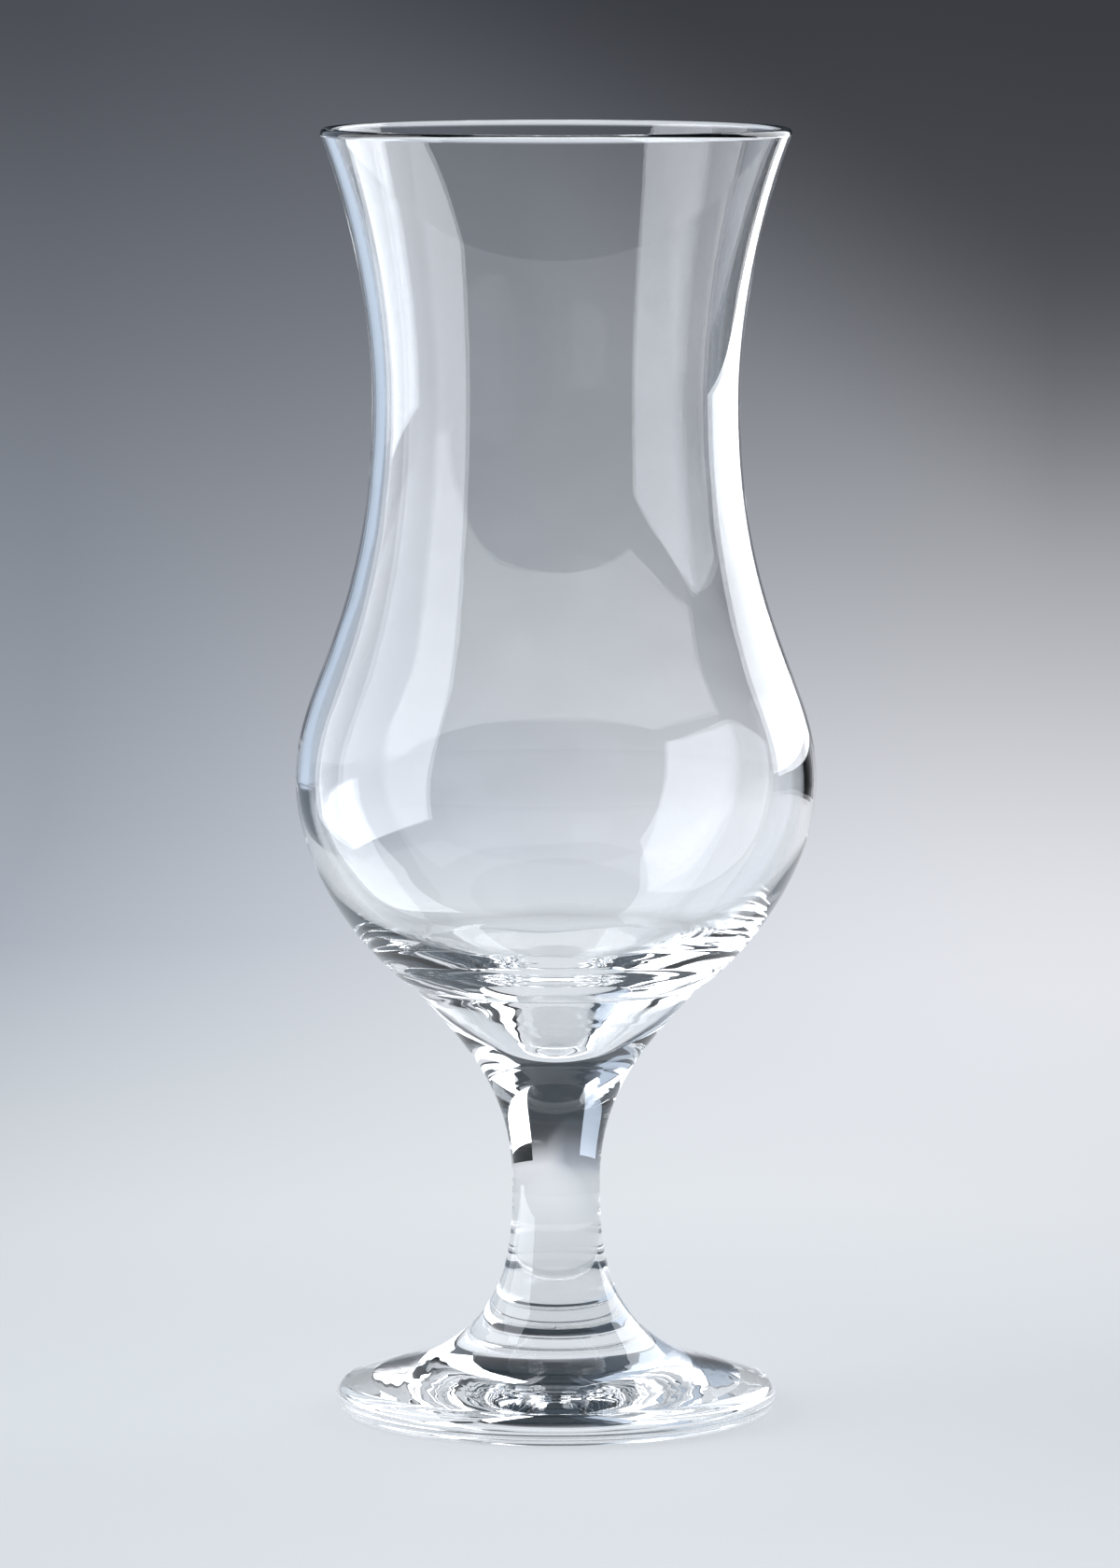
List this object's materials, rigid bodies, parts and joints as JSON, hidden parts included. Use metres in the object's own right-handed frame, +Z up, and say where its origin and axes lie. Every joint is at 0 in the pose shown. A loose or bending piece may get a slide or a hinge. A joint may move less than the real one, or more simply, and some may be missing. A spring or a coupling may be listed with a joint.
{
  "type": "hurricane glass",
  "caption": "Clear hurricane cocktail glass: flared mouth, waist, round belly and thick bottom with a well on a short solid stem and a wide pressed foot.",
  "frame": {"origin": "on the table, under the axis of the glass: the middle of the flat ring that the foot stands on", "axes": "+Z up along the axis of the glass, from the foot to the rim; X and Y are any two level directions, as the glass is round"},
  "size_m": [0.0828, 0.0828, 0.205],
  "materials": {
    "clear_glass": "polished"
  },
  "bodies": {
    "root": {"bowl": "clear_glass", "stem": "clear_glass", "foot": "clear_glass"}
  },
  "joints": []
}
